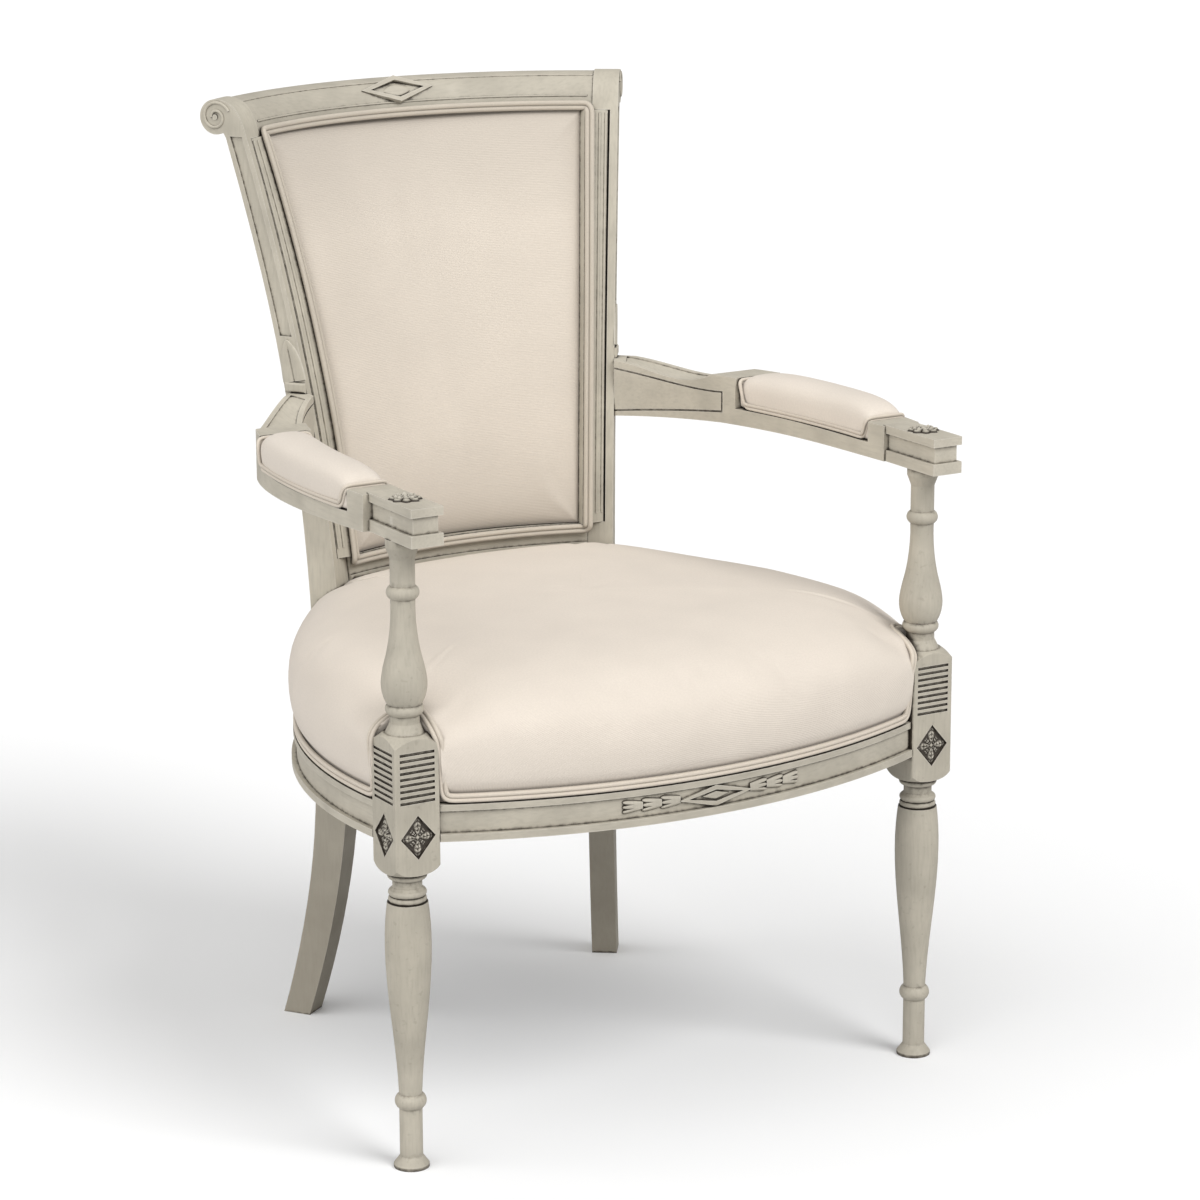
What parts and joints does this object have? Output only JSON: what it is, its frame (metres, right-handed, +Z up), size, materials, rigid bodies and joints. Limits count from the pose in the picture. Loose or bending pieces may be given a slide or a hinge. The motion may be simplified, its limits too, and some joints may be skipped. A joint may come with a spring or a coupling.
{
  "type": "armchair",
  "caption": "Painted open armchair with a rolled concave back, turned arm supports and tight cream upholstery.",
  "frame": {"origin": "on the floor, at the centre of the chair's bounding box in plan", "axes": "+Z up, -Y the way the chair faces, +X to the right seen from the front"},
  "size_m": [0.6114, 0.6464, 0.9229],
  "materials": {
    "paint": "antique painted, satin",
    "fabric": "fine ribbed weave",
    "welt": "fabric covered double cord",
    "stuffing": "hair stuffing",
    "webbing": "jute weave",
    "black_cloth": "plain cambric",
    "raw_wood": "bare beech",
    "screw_steel": "bright"
  },
  "bodies": {
    "root": {"back_pad": "fabric", "back_webbing": "webbing", "back_welt": "welt", "corner_block_screws": "screw_steel", "crest_rail": "paint", "dust_cover": "black_cloth", "front_seat_rail": "paint", "left_arm": "paint", "left_arm_pad": "fabric", "left_arm_welt": "welt", "left_back_post": "paint", "left_front_corner_block": "raw_wood", "left_front_leg": "paint", "left_panel_stile": "paint", "left_rear_corner_block": "raw_wood", "left_seat_rail": "paint", "lower_back_rail": "paint", "outside_back": "fabric", "rear_seat_rail": "paint", "right_arm": "paint", "right_arm_pad": "fabric", "right_arm_welt": "welt", "right_back_post": "paint", "right_front_corner_block": "raw_wood", "right_front_leg": "paint", "right_panel_stile": "paint", "right_rear_corner_block": "raw_wood", "right_seat_rail": "paint", "seat_base_cloth": "webbing", "seat_cover": "fabric", "seat_stuffing": "stuffing", "seat_webbing_crosswise": "webbing", "seat_webbing_lengthwise": "webbing", "seat_welt": "welt"}
  },
  "joints": []
}
